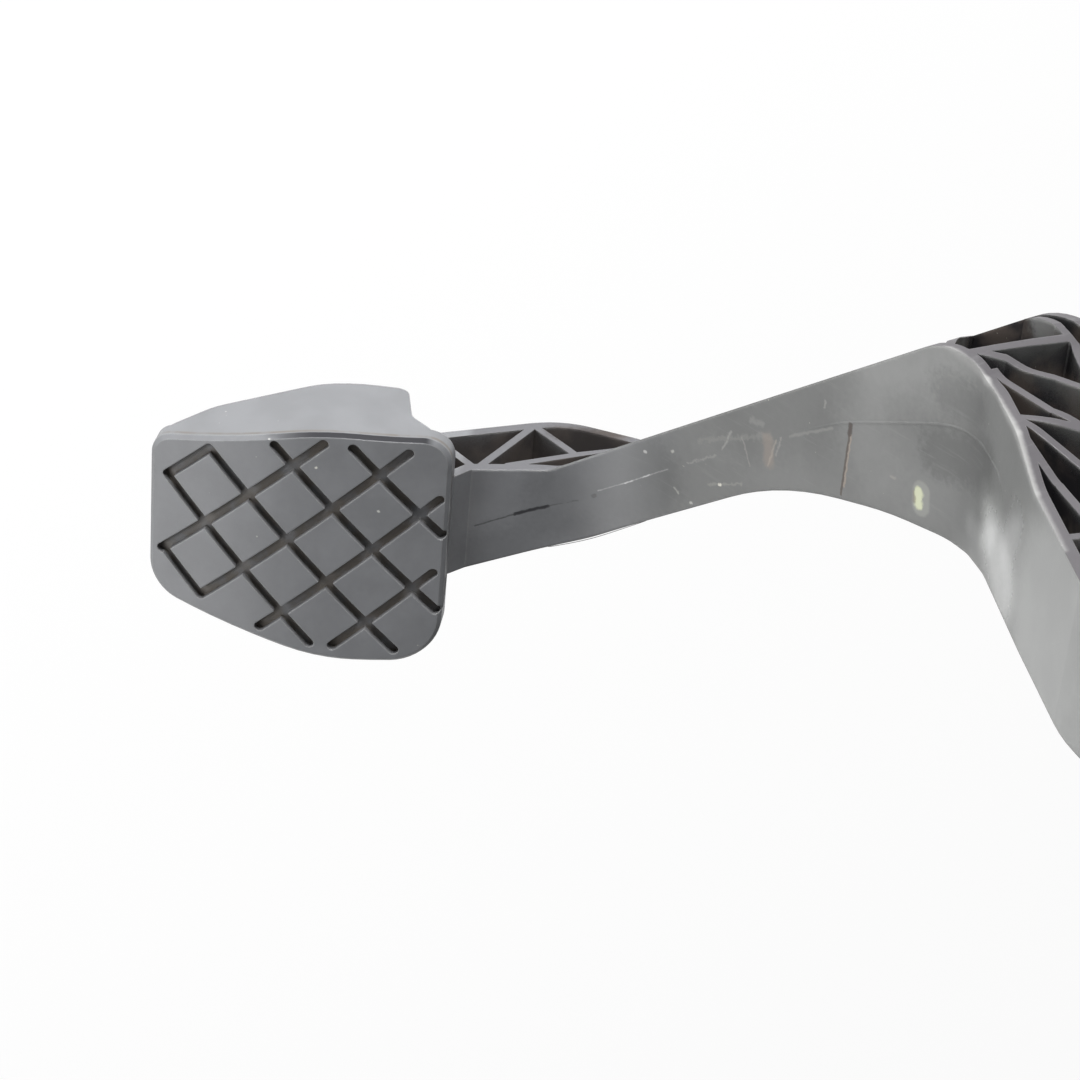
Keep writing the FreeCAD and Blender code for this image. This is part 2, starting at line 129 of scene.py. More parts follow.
# fine spark-eroded grain of a moulded plastic face
def makeMouldGrain():
    group, given, out = newGroup(
        "mouldGrain", [("Grain", "NodeSocketFloat", 2600.0)], [("Height", "NodeSocketFloat")])
    where = put(group, "ShaderNodeTexCoord", (-1000, -200)).outputs["Object"]
    fine = put(group, "ShaderNodeTexNoise", (-700, 100))
    fine.inputs["Detail"].default_value = 3.0
    group.links.new(where, fine.inputs["Vector"])
    group.links.new(given.outputs["Grain"], fine.inputs["Scale"])
    group.links.new(fine.outputs["Fac"], out.inputs["Height"])
    return group


# where a point lies on the pad: along it, across it and how far below its curved face, in mm
def makePadMap():
    group, _, out = newGroup(
        "padMap", [],
        [("Along", "NodeSocketFloat"), ("Across", "NodeSocketFloat"), ("Depth", "NodeSocketFloat")],
    )
    where = put(group, "ShaderNodeTexCoord", (-1000, 0)).outputs["Object"]
    offset = put(group, "ShaderNodeVectorMath", (-800, 0), operation="SUBTRACT")
    offset.inputs[1].default_value = padCentre
    group.links.new(where, offset.inputs[0])
    measured = []
    for row, axis in enumerate((padAlong, Vector((1, 0, 0)), padOut)):
        dot = put(group, "ShaderNodeVectorMath", (-600, 200 - 200 * row), operation="DOT_PRODUCT")
        dot.inputs[1].default_value = axis / mm
        group.links.new(offset.outputs[0], dot.inputs[0])
        measured.append(dot.outputs["Value"])
    radius = padPlace["faceRadius"]
    lift = calc(group, "ADD", measured[2], radius, (-400, -200))
    square = calc(group, "ADD", calc(group, "MULTIPLY", measured[0], measured[0], (-300, 100)),
                  calc(group, "MULTIPLY", lift, lift, (-300, -100)), (-100, 0))
    depth = calc(group, "SUBTRACT", radius, calc(group, "SQRT", square, 0.0, (0, -100)), (200, -100))
    group.links.new(measured[0], out.inputs["Along"])
    group.links.new(measured[1], out.inputs["Across"])
    group.links.new(depth, out.inputs["Depth"])
    return group


# a place in the lever's own millimetres: right, forward and up as it is moulded
def makeLeverMap():
    group, _, out = newGroup("leverMap", [], [("Point", "NodeSocketVector")])
    where = put(group, "ShaderNodeTexCoord", (-1000, 0)).outputs["Object"]
    turn = put(group, "ShaderNodeVectorRotate", (-700, 0), rotation_type="X_AXIS")
    turn.inputs["Angle"].default_value = -math.radians(padPlace["hang"])
    grow = put(group, "ShaderNodeVectorMath", (-400, 0), operation="SCALE")
    grow.inputs["Scale"].default_value = 1 / mm
    group.links.new(where, turn.inputs["Vector"])
    group.links.new(turn.outputs[0], grow.inputs[0])
    group.links.new(grow.outputs[0], out.inputs["Point"])
    return group


# a soft-edged stroke between two points, with a ragged outline
def makeStrokeMark():
    group, given, out = newGroup(
        "strokeMark",
        [("Point", "NodeSocketVector", None), ("From", "NodeSocketVector", None),
         ("To", "NodeSocketVector", None), ("Width", "NodeSocketFloat", 1.0),
         ("Soft", "NodeSocketFloat", 0.5), ("Ragged", "NodeSocketFloat", 0.4)],
        [("Mask", "NodeSocketFloat")],
    )
    links = group.links

    def vectorMath(operation, first, second, at):
        node = put(group, "ShaderNodeVectorMath", at, operation=operation)
        links.new(first, node.inputs[0])
        links.new(second, node.inputs["Scale" if operation == "SCALE" else 1])
        return node.outputs["Value" if operation == "DOT_PRODUCT" else "Vector"]

    wander = put(group, "ShaderNodeTexNoise", (-1000, -300))
    wander.inputs["Scale"].default_value = 0.9
    wander.inputs["Detail"].default_value = 3.0
    links.new(given.outputs["Point"], wander.inputs["Vector"])
    centred = put(group, "ShaderNodeVectorMath", (-850, -300), operation="SUBTRACT")
    centred.inputs[1].default_value = (0.5, 0.5, 0.5)
    links.new(wander.outputs["Color"], centred.inputs[0])
    shift = vectorMath("SCALE", centred.outputs[0], given.outputs["Ragged"], (-700, -300))
    moved = vectorMath("ADD", given.outputs["Point"], shift, (-550, 0))
    local = vectorMath("SUBTRACT", moved, given.outputs["From"], (-400, 0))
    run = vectorMath("SUBTRACT", given.outputs["To"], given.outputs["From"], (-400, -200))
    share = calc(group, "DIVIDE", vectorMath("DOT_PRODUCT", local, run, (-250, 0)),
                 vectorMath("DOT_PRODUCT", run, run, (-250, -200)), (-100, 0), clamp=True)
    nearest = vectorMath("SCALE", run, share, (50, -200))
    gap = put(group, "ShaderNodeVectorMath", (350, -100), operation="LENGTH")
    links.new(vectorMath("SUBTRACT", local, nearest, (200, -100)), gap.inputs[0])
    fade = put(group, "ShaderNodeMapRange", (600, 0), interpolation_type="SMOOTHSTEP", clamp=False)
    links.new(gap.outputs["Value"], fade.inputs["Value"])
    links.new(given.outputs["Width"], fade.inputs["From Min"])
    reach = calc(group, "ADD", given.outputs["Width"], given.outputs["Soft"], (400, -300))
    links.new(reach, fade.inputs["From Max"])
    fade.inputs["To Min"].default_value = 1.0
    fade.inputs["To Max"].default_value = 0.0
    links.new(fade.outputs[0], out.inputs["Mask"])
    return group


# rounded look of a moulded edge: the turned normal and where the edge is
def makeSoftEdge():
    group, given, out = newGroup(
        "softEdge", [("Radius", "NodeSocketFloat", 0.5 * mm)],
        [("Normal", "NodeSocketVector"), ("Edge", "NodeSocketFloat")],
    )
    bevel = put(group, "ShaderNodeBevel", (-600, 0), samples=4)
    group.links.new(given.outputs["Radius"], bevel.inputs["Radius"])
    flat = put(group, "ShaderNodeNewGeometry", (-600, -300)).outputs["Normal"]
    dot = put(group, "ShaderNodeVectorMath", (-300, -200), operation="DOT_PRODUCT")
    group.links.new(bevel.outputs[0], dot.inputs[0])
    group.links.new(flat, dot.inputs[1])
    group.links.new(bevel.outputs[0], out.inputs["Normal"])
    group.links.new(ramp(group, dot.outputs["Value"], 0.998, 0.9, (0, -200)), out.inputs["Edge"])
    return group


# how deep a place lies in a pocket, where painted shade and dirt go
def makePocketShadeAndGrime():
    group, given, out = newGroup(
        "pocketShadeAndGrime", [("Reach", "NodeSocketFloat", 14 * mm)], [("Mask", "NodeSocketFloat")])
    hidden = put(group, "ShaderNodeAmbientOcclusion", (-500, 0), samples=4)
    group.links.new(given.outputs["Reach"], hidden.inputs["Distance"])
    group.links.new(ramp(group, hidden.outputs["AO"], 0.84, 0.48, (0, 0)), out.inputs["Mask"])
    return group


# scattered dust grains: a few cells of a random pattern hold one
def makeDustSpecks():
    group, given, out = newGroup(
        "dustSpecks",
        [("Point", "NodeSocketVector", None), ("Density", "NodeSocketFloat", 0.35),
         ("Share", "NodeSocketFloat", 0.2)],
        [("Mask", "NodeSocketFloat")],
    )
    cells = put(group, "ShaderNodeTexVoronoi", (-700, 0))
    group.links.new(given.outputs["Point"], cells.inputs["Vector"])
    group.links.new(given.outputs["Density"], cells.inputs["Scale"])
    pick = put(group, "ShaderNodeSeparateColor", (-450, -200))
    group.links.new(cells.outputs["Color"], pick.inputs[0])
    chosen = calc(group, "LESS_THAN", pick.outputs[0], given.outputs["Share"], (-200, -200))
    grown = calc(group, "MULTIPLY", pick.outputs[1], 0.06, (-200, -400))
    size = calc(group, "ADD", grown, 0.025, (-50, -400))
    close = calc(group, "LESS_THAN", cells.outputs["Distance"], size, (0, 0))
    group.links.new(calc(group, "MULTIPLY", chosen, close, (300, 0)), out.inputs["Mask"])
    return group


# fine rub lines that run along the lever
def makeRubLines():
    group, given, out = newGroup(
        "rubLines", [("Point", "NodeSocketVector", None), ("Across", "NodeSocketFloat", 1.6)],
        [("Mask", "NodeSocketFloat")])
    squeeze = put(group, "ShaderNodeVectorMath", (-700, 0), operation="MULTIPLY")
    squeeze.inputs[1].default_value = (1.0, 0.05, 0.05)
    group.links.new(given.outputs["Point"], squeeze.inputs[0])
    lines = put(group, "ShaderNodeTexNoise", (-450, 0))
    lines.inputs["Detail"].default_value = 5.0
    lines.inputs["Roughness"].default_value = 0.65
    group.links.new(squeeze.outputs[0], lines.inputs["Vector"])
    group.links.new(given.outputs["Across"], lines.inputs["Scale"])
    group.links.new(ramp(group, lines.outputs["Fac"], 0.56, 0.72, (0, 0)), out.inputs["Mask"])
    return group


mouldGrain = makeMouldGrain()
padMap = makePadMap()
leverMap = makeLeverMap()
strokeMark = makeStrokeMark()
softEdge = makeSoftEdge()
pocketShadeAndGrime = makePocketShadeAndGrime()
dustSpecks = makeDustSpecks()
rubLines = makeRubLines()
print("finish groups made")

# colours of the plastic; the near-black pocket colour, the dark side colours and the crease colour are painted
# shade, and the pale edge colour is partly painted highlight
leverFinish = {
    "padPlastic": (0.118, 0.121, 0.127),
    "armPlastic": (0.112, 0.114, 0.112),
    "edgeWearAndSheen": (0.26, 0.26, 0.255),
    "pocketShade": (0.008, 0.007, 0.009),
    "grimeBrown": (0.050, 0.040, 0.035),
    "pocketPale": (0.070, 0.061, 0.056),
    "grooveDust": (0.085, 0.074, 0.062),
    "dust": (0.42, 0.41, 0.37),
    "rub": (0.17, 0.172, 0.17),
    "sideShadeLow": (0.074, 0.074, 0.080),
    "sideShadeHigh": (0.046, 0.043, 0.047),
    "creaseShade": (0.030, 0.030, 0.033),
    "edgeRadius": 0.40,
    "stripRadius": 0.55,
}

# where an effect fades in or out: height on the lever, or along, across and below the pad, in mm
leverReach = {
    "pastPad": (34.6, 37.0),
    "onArm": (-232.0, -196.0),
    "atKnee": (-190.0, -150.0),
    "fleckedFrom": (-222.0, -196.0),
    "fleckedTo": (-160.0, -180.0),
    "palerPockets": (-190.0, -215.0),
    "smooth": (-128.0, -104.0),
    "grooveDepth": (2.4, 1.9),
    "grooveEnd": (36.0, 35.0),
    "grooveFloor": (1.15, 1.45),
    "creaseTop": (0.02, 0.15),
    "creaseFloor": (1.05, 0.9),
    "creaseLeft": (-24.5, -25.8),
    "creaseLow": (-12.0, 6.0),
    "creaseHigh": (31.5, 29.0),
}

# how far a face has to look a way, from not at all to fully
leverFacing = {
    "toDriver": (0.1, 0.4),
    "onSide": (0.7, 0.9),
    "inside": (0.6, 0.2),
}

# clouds of tone and dirt: scale, detail, roughness, and the two values a mask runs between
leverClouds = {
    "slow": (0.075, 3.0, 0.5, 0.35, 0.65),
    "quick": (0.55, 4.0, 0.6),
    "brown": (0.12, 4.0, 0.5, 0.42, 0.62),
    "floorDust": (0.2, 3.0, 0.5, 0.3, 0.6),
}

# how much each effect changes the plastic
leverAmount = {
    "tone": 0.865,
    "slowTone": 0.11,
    "quickTone": 0.16,
    "rub": 0.22,
    "leastWearAndSheen": 0.1,
    "wearAndSheen": 0.75,
    "sideSpared": 0.5,
    "dust": 0.4,
    "flecks": 0.42,
    "palerPockets": 0.5,
    "crumbs": 0.5,
    "shadeAndGrime": 0.94,
    "grooveLessShade": 0.7,
    "grooveDust": 0.8,
    "specks": 0.85,
    "speckSoft": 0.3,
    "speckRagged": 0.9,
    "rough": 0.35,
    "roughVaries": 0.12,
    "smoothHigh": 0.10,
    "polish": 0.14,
    "pocketRough": 0.35,
    "specular": 0.5,
    "pocketMatt": 0.4,
    "creaseMatt": 0.48,
    "grainHeight": 0.5,
    "rubHeight": 0.4,
    "dentDepth": 1.5,
    "dentShade": 0.045,
    "bump": 0.3,
    "bumpDistance": 0.05,
}

# painted highlights and shade: soft clouds that lighten or darken the strip, the glint on the upper arm among
# them: ends in the lever's millimetres, width, softness, raggedness, brightness
lightAndShadeClouds = {
    "kneeCorner": ((-7.6, 47.1, -151.9), (-17.7, 47.2, -138.8), 2.0, 12.0, 7.0, 1.35),
    "kneeMiddle": ((6.9, 47.1, -154.8), (15.1, 47.1, -147.6), 2.0, 9.0, 7.0, 1.14),
    "kneeShade": ((-11.3, 47.2, -133.5), (-10.8, 46.6, -126.2), 2.0, 5.0, 7.0, 0.76),
    "lineShade": ((2.1, 47.2, -133.1), (-1.9, 43.5, -118.9), 3.0, 5.0, 7.0, 0.70),
    "foldShade": ((19.8, 47.0, -188.2), (10.4, 47.0, -170.5), 5.0, 9.0, 7.0, 0.86),
    "lowShade": ((46.0, 46.0, -214.0), (56.4, 39.7, -229.6), 6.0, 10.0, 7.0, 0.76),
    "lowEdge": ((74.0, 22.0, -243.0), (67.0, 41.0, -227.0), 3.0, 8.0, 7.0, 0.82),
    "upperFace": ((3.0, 14.0, -78.0), (6.0, 6.0, -64.0), 14.0, 16.0, 7.0, 1.62),
    "patchCore": ((7.0, 37.0, -109.6), (11.0, 31.0, -100.4), 1.8, 9.0, 2.0, 2.1),
    "patchTop": ((2.6, 41.5, -116.0), (6.8, 37.8, -110.6), 0.6, 5.0, 2.0, 1.35),
    "patchRight": ((-3.6, 30.4, -99.6), (3.6, 31.6, -101.2), 0.5, 6.0, 2.0, 1.25),
    "patchLeft": ((11.6, 44.6, -121.0), (10.4, 40.6, -114.8), 0.3, 3.6, 2.0, 1.35),
}

# more darkening in pockets on faces that look inward, beyond what the pockets' depth brings: ends, width,
# softness, raggedness
pocketDarkSpots = {
    "farPocket": ((-6.0, 77.9, -152.0), (-12.0, 76.5, -142.0), 5.0, 4.0, 3.0),
    "farFlange": ((52.0, 60.0, -240.0), (52.0, 50.0, -246.0), 1.0, 5.0, 3.0),
}

# polished places on the upper arm, where the shine is sharper: ends, width, softness, raggedness
polishStreaks = {
    "long": ((6.8, 37.8, -110.6), (11.4, 30.8, -100.2), 1.0, 8.0, 3.0),
    "short": ((-3.6, 30.4, -99.6), (3.6, 31.6, -101.2), 0.4, 6.0, 3.0),
}

# single marks: ends, width, softness, raggedness, color, strength
leverMarks = {
    "darkScratch": ((61.7, 30.0, -237.8), (59.3, 35.9, -233.4), 0.25, 0.35, 0.5, (0.014, 0.014, 0.016), 0.95),
    "darkScratchStart": ((64.8, 22.5, -242.6), (61.7, 30.0, -237.8), 0.04, 0.25, 0.5, (0.03, 0.03, 0.03), 0.7),
    "darkScratchEnd": ((59.3, 35.9, -233.4), (56.9, 40.3, -228.5), 0.04, 0.25, 0.6, (0.04, 0.04, 0.04), 0.6),
    "paleScratchLow": ((53.3, 42.7, -224.8), (49.3, 45.2, -219.0), 0.02, 0.22, 0.4, (0.3, 0.3, 0.3), 0.5),
    "paleScratch": ((49.3, 45.2, -219.0), (44.7, 46.6, -212.9), 0.03, 0.24, 0.4, (0.42, 0.42, 0.42), 0.7),
    "paleScratchHigh": ((44.7, 46.6, -212.9), (40.9, 47.0, -207.8), 0.02, 0.22, 0.5, (0.26, 0.26, 0.26), 0.5),
    "paleScratchFar": ((36.7, 47.0, -202.0), (31.1, 47.0, -193.9), 0.02, 0.4, 1.6, (0.24, 0.24, 0.23), 0.4),
    "rubAlong": ((29.7, 47.0, -199.2), (19.4, 47.0, -179.1), 0.05, 1.0, 3.0, (0.18, 0.18, 0.17), 0.35),
    "rubOverLine": ((16.9, 47.1, -173.5), (9.9, 47.1, -162.3), 0.05, 0.5, 0.8, (0.2, 0.2, 0.19), 0.4),
    "scuffBrown": ((20.4, 47.0, -179.6), (25.4, 47.0, -178.4), 0.6, 1.7, 2.0, (0.17, 0.145, 0.125), 0.6),
    "scuffBrownEdge": ((19.7, 47.0, -177.3), (26.4, 47.0, -178.5), 0.03, 0.4, 0.9, (0.26, 0.23, 0.2), 0.45),
    "scuffSlant": ((28.9, 47.0, -192.3), (23.6, 47.0, -190.3), 0.03, 0.4, 1.0, (0.24, 0.24, 0.23), 0.5),
    "scuffLong": ((23.5, 47.0, -186.9), (28.8, 47.0, -183.6), 0.02, 0.35, 1.0, (0.24, 0.23, 0.22), 0.4),
    "scuffLow": ((38.7, 47.0, -195.2), (34.0, 47.0, -185.3), 0.02, 0.45, 1.4, (0.24, 0.24, 0.22), 0.35),
    "scuffBend": ((18.4, 47.0, -175.9), (22.9, 47.0, -176.7), 0.02, 0.4, 1.2, (0.24, 0.23, 0.22), 0.4),
    "scuffHigh": ((18.4, 47.0, -184.7), (17.8, 47.0, -181.8), 0.2, 1.0, 2.0, (0.17, 0.17, 0.165), 0.5),
    "slideDirt": ((6.9, 47.1, -157.4), (23.2, 47.1, -157.4), 0.12, 0.3, 0.5, (0.05, 0.038, 0.03), 0.85),
    "slideDust": ((9.0, 47.1, -156.9), (21.0, 47.1, -156.9), 0.05, 0.35, 0.8, (0.24, 0.19, 0.15), 0.6),
    "slideTop": ((6.9, 47.1, -157.4), (9.0, 47.1, -157.4), 0.4, 0.4, 0.5, (0.045, 0.035, 0.03), 0.85),
    "gateHalo": ((12.6, 47.2, -136.6), (15.6, 47.2, -136.2), 1.9, 0.8, 0.5, (0.20, 0.205, 0.19), 0.6),
    "gateCore": ((12.9, 47.2, -137.2), (15.8, 47.2, -136.8), 0.6, 0.9, 1.4, (0.42, 0.44, 0.30), 0.85),
    "gatePit": ((13.4, 47.2, -138.4), (15.4, 47.2, -138.0), 0.1, 0.6, 1.6, (0.13, 0.11, 0.08), 0.6),
    "chipDark": ((54.9, 42.2, -225.7), (54.6, 42.4, -225.3), 0.3, 0.3, 0.8, (0.05, 0.05, 0.05), 0.8),
    "chipPale": ((37.2, 47.0, -192.0), (37.0, 47.0, -191.6), 0.15, 0.35, 0.9, (0.5, 0.48, 0.42), 0.8),
    "chipPair": ((44.3, 47.0, -205.4), (45.0, 47.0, -203.8), 0.05, 0.3, 1.1, (0.27, 0.27, 0.25), 0.6),
    "chipLow": ((45.7, 47.0, -199.9), (45.5, 47.0, -199.5), 0.2, 0.3, 0.8, (0.34, 0.34, 0.32), 0.7),
    "chipHigh": ((39.7, 46.3, -214.9), (39.6, 46.4, -214.6), 0.25, 0.3, 0.8, (0.34, 0.34, 0.33), 0.7),
    "chipNear": ((36.3, 47.0, -207.2), (36.0, 47.0, -206.8), 0.15, 0.35, 0.8, (0.32, 0.32, 0.3), 0.7),
    "chipFar": ((5.1, 47.1, -165.2), (6.2, 47.1, -165.0), 0.1, 0.4, 1.2, (0.22, 0.22, 0.21), 0.5),
    "chipKnee": ((13.1, 47.1, -144.9), (12.9, 47.1, -143.9), 0.1, 0.5, 1.2, (0.22, 0.21, 0.19), 0.5),
    # painted highlight: pale bands along the strip's left edge from the knee up
    "highlightKnee": ((-21.0, 47.2, -138.5), (-18.4, 46.0, -124.5), 0.3, 1.4, 0.5, (0.2, 0.2, 0.196), 0.7),
    "highlightBend": ((-18.4, 46.0, -124.5), (-18.0, 35.4, -107.0), 0.3, 1.5, 0.5, (0.21, 0.21, 0.206), 0.8),
    "highlightHigh": ((-18.0, 35.4, -107.0), (-14.1, 26.2, -93.5), 0.3, 1.5, 0.5, (0.21, 0.21, 0.206), 0.75),
    "highlightTop": ((-14.1, 26.2, -93.5), (-14.2, 15.0, -77.0), 0.2, 1.5, 0.5, (0.19, 0.19, 0.187), 0.6),
    "skirtSpeck": ((37.6, -6.2, -267.1), (37.6, -6.9, -267.5), 0.3, 0.5, 0.9, (0.32, 0.26, 0.14), 0.85),
    "skirtChip": ((37.6, -27.1, -276.5), (37.6, -27.3, -276.7), 0.25, 0.3, 0.6, (0.7, 0.7, 0.68), 0.8),
}

# specks on the pad: along it, across it, size, color
padSpecks = {
    "cornerChip": (-9.7, -27.7, 0.5, (0.5, 0.49, 0.45)),
    "leftChip": (-4.8, -25.1, 0.3, (0.42, 0.42, 0.4)),
    "blockSpeck": (5.8, -19.3, 0.3, (0.45, 0.44, 0.4)),
    "lowSpeck": (20.0, -9.4, 0.45, (0.36, 0.36, 0.34)),
    "groovePale": (25.3, 7.0, 0.35, (0.4, 0.36, 0.3)),
    "rightSpeck": (16.7, 30.0, 0.3, (0.34, 0.34, 0.32)),
}


def strokeMask(tree, point, start, end, width, soft, ragged, at):
    node = place(tree, strokeMark, at, Width=width, Soft=soft, Ragged=ragged, From=start, To=end)
    tree.links.new(point, node.inputs["Point"])
    return node.outputs["Mask"]


def padSpot(along, across):
    radius = padPlace["faceRadius"]
    out = math.sqrt(radius ** 2 - along ** 2) - radius
    return Vector(padPlace["centre"]) + Vector((
        across,
        along * math.sin(padTilt) - out * math.cos(padTilt),
        along * math.cos(padTilt) + out * math.sin(padTilt),
    ))


def faceMask(tree, facing, way, low, high, at):
    node = put(tree, "ShaderNodeVectorMath", at, operation="DOT_PRODUCT")
    node.inputs[1].default_value = way
    tree.links.new(facing, node.inputs[0])
    return ramp(tree, node.outputs["Value"], low, high, (at[0] + 150, at[1]))


def cloudMask(tree, point, cloud, at, after):
    scale, detail, roughness, low, high = cloud
    return ramp(tree, noise(tree, point, scale, detail, roughness, at), low, high, after)


def makeLeverPlastic():
    material = bpy.data.materials.new("leverPlastic")
    material.use_nodes = True
    tree = material.node_tree
    tree.nodes.clear()
    links = tree.links
    shader = put(tree, "ShaderNodeBsdfPrincipled", (2600, 0))
    target = put(tree, "ShaderNodeOutputMaterial", (2900, 0))
    links.new(shader.outputs[0], target.inputs[0])
    point = place(tree, leverMap, (-1400, 0)).outputs["Point"]
    split = put(tree, "ShaderNodeSeparateXYZ", (-1200, 300))
    links.new(point, split.inputs[0])
    grain = place(tree, mouldGrain, (-1200, -300))
    onPad = place(tree, padMap, (-1200, 0))
    facing = put(tree, "ShaderNodeTexCoord", (-1900, -500)).outputs["Normal"]
    measured = {
        "height": split.outputs["Z"],
        "along": onPad.outputs["Along"],
        "across": onPad.outputs["Across"],
        "depth": onPad.outputs["Depth"],
    }

    # small builders for what this material repeats
    def times(first, second, at):
        return calc(tree, "MULTIPLY", first, second, at)

    def reached(measure, reach, at):
        return ramp(tree, measured[measure], *leverReach[reach], at)

    def faced(way, facingName, at):
        return faceMask(tree, facing, way, *leverFacing[facingName], at)

    # what the faces are: the strip that the shoe slides on, the sides, soft edges, pockets
    pastPad = reached("along", "pastPad", (-1700, -300))
    toDriver = times(faced(hung((0, -1, 0)), "toDriver", (-1700, -500)), pastPad, (-1500, -500))
    onSide = times(faced((-1, 0, 0), "onSide", (-1700, -700)), pastPad, (-1500, -700))
    strip = calc(tree, "SUBTRACT", toDriver, onSide, (-1400, -600), clamp=True)
    wider = times(strip, leverFinish["stripRadius"] * mm, (-1350, -500))
    radius = calc(tree, "ADD", leverFinish["edgeRadius"] * mm, wider, (-1300, -600))
    edge = place(tree, softEdge, (-1200, -600))
    links.new(radius, edge.inputs["Radius"])
    shadeAndGrime = place(tree, pocketShadeAndGrime, (-1200, -800)).outputs["Mask"]
    inside = faced(hung((0, 1, 0)), "inside", (-1700, -900))
    for row, stroke in enumerate(pocketDarkSpots.values()):
        low = -1000 - 220 * row
        spot = times(strokeMask(tree, point, *stroke, (-1200, low)), inside, (-1050, low))
        shadeAndGrime = calc(tree, "MAXIMUM", shadeAndGrime, spot, (-900, low))

    # plastic, cooler on the pad, with slow and quick changes of tone
    onArm = reached("height", "onArm", (-1000, 300))
    color = blendColor(tree, onArm, leverFinish["padPlastic"], leverFinish["armPlastic"], (-800, 300))
    slow = cloudMask(tree, point, leverClouds["slow"], (-1000, 600), (-800, 600))
    quick = noise(tree, point, *leverClouds["quick"], (-1000, 800))
    slowTone = times(slow, leverAmount["slowTone"], (-600, 600))
    quickTone = times(quick, leverAmount["quickTone"], (-600, 800))
    spread = calc(tree, "ADD", slowTone, quickTone, (-450, 700))
    tone = calc(tree, "ADD", spread, leverAmount["tone"], (-300, 700))
    # painted highlights and shade from the clouds above scale the tone
    for row, (*stroke, bright) in enumerate(lightAndShadeClouds.values()):
        low = 1100 + 220 * row
        mask = strokeMask(tree, point, *stroke, (-1000, low))
        change = times(mask, bright - 1.0, (-700, low))
        tone = times(tone, calc(tree, "ADD", change, 1.0, (-500, low)), (-300, low))
    toned = put(tree, "ShaderNodeHueSaturation", (-100, 400))
    links.new(color, toned.inputs["Color"])
    links.new(tone, toned.inputs["Value"])
    color = toned.outputs["Color"]

    # painted shade: the arm's sides that face -X are darkened, more so towards the knee
    atKnee = reached("height", "atKnee", (50, 1100))
    sideShade = blendColor(tree, atKnee, leverFinish["sideShadeLow"], leverFinish["sideShadeHigh"], (200, 1100))
    color = blendColor(tree, onSide, color, sideShade, (300, 300))

    # wear: rub lines and dust grains; the pale edges are partly edge wear and partly a painted highlight where
    # edges catch the light, less on the sides
    rub = place(tree, rubLines, (-100, -900))
    links.new(point, rub.inputs["Point"])
    rubbed = times(times(rub.outputs["Mask"], onArm, (100, -900)), leverAmount["rub"], (250, -900))
    color = blendColor(tree, rubbed, color, leverFinish["rub"], (400, 300))
    uneven = calc(tree, "ADD", quick, leverAmount["leastWearAndSheen"], (100, -500))
    wornAndLitEdge = times(edge.outputs["Edge"], uneven, (250, -500))
    sideSpared = times(onSide, leverAmount["sideSpared"], (250, -650))
    spared = calc(tree, "SUBTRACT", leverAmount["wearAndSheen"], sideSpared, (400, -650))
    color = blendColor(tree, times(wornAndLitEdge, spared, (500, -500)), color, leverFinish["edgeWearAndSheen"], (600, 300))
    specks = place(tree, dustSpecks, (400, -700))
    links.new(point, specks.inputs["Point"])
    dusted = times(specks.outputs["Mask"], leverAmount["dust"], (600, -700))
    color = blendColor(tree, dusted, color, leverFinish["dust"], (800, 300))

    # longer flecks where the shoe scuffs the strip
    stretch = put(tree, "ShaderNodeVectorMath", (200, -1100), operation="MULTIPLY")
    stretch.inputs[1].default_value = (1.0, 0.4, 0.28)
    links.new(point, stretch.inputs[0])
    flecks = place(tree, dustSpecks, (400, -1100), Density=0.5, Share=0.3)
    links.new(stretch.outputs[0], flecks.inputs["Point"])
    scuffed = times(reached("height", "fleckedFrom", (400, -1300)),
                    reached("height", "fleckedTo", (400, -1500)), (600, -1400))
    flecked = times(flecks.outputs["Mask"], scuffed, (700, -1200))
    fleck = times(flecked, leverAmount["flecks"], (850, -1200))
    color = blendColor(tree, fleck, color, leverFinish["dust"], (900, 300))

    # painted shade and dirt in pockets and grooves: near black where the pockets are deep, with brown dirt and
    # crumbs, paler lower down, and less of it in the pad's grooves
    brown = cloudMask(tree, point, leverClouds["brown"], (400, 900), (600, 900))
    shadeAndDirt = blendColor(tree, brown, leverFinish["pocketShade"], leverFinish["grimeBrown"], (800, 900))
    lowerDown = reached("height", "palerPockets", (800, 1050))
    paler = times(lowerDown, leverAmount["palerPockets"], (900, 1050))
    shadeAndDirt = blendColor(tree, paler, shadeAndDirt, leverFinish["pocketPale"], (900, 950))
    crumbs = place(tree, dustSpecks, (400, 700), Density=0.6, Share=0.3)
    links.new(point, crumbs.inputs["Point"])
    crumbShare = times(brown, leverAmount["crumbs"], (600, 700))
    crumbed = times(crumbs.outputs["Mask"], crumbShare, (700, 700))
    shadeAndDirt = blendColor(tree, crumbed, shadeAndDirt, leverFinish["dust"], (950, 900))
    shallow = times(reached("depth", "grooveDepth", (800, -250)),
                    reached("along", "grooveEnd", (800, -350)), (900, -300))
    lessShade = times(shallow, leverAmount["grooveLessShade"], (800, 0))
    kept = calc(tree, "SUBTRACT", leverAmount["shadeAndGrime"], lessShade, (900, 50))
    color = blendColor(tree, times(shadeAndGrime, kept, (950, 100)), color, shadeAndDirt, (1000, 300))
    floor = reached("depth", "grooveFloor", (800, -100))
    onFloor = times(floor, shallow, (950, -150))
    floorDust = cloudMask(tree, point, leverClouds["floorDust"], (800, -400), (950, -400))
    dusty = times(onFloor, floorDust, (1100, -200))
    settled = times(dusty, leverAmount["grooveDust"], (1200, -200))
    color = blendColor(tree, settled, color, leverFinish["grooveDust"], (1250, 300))

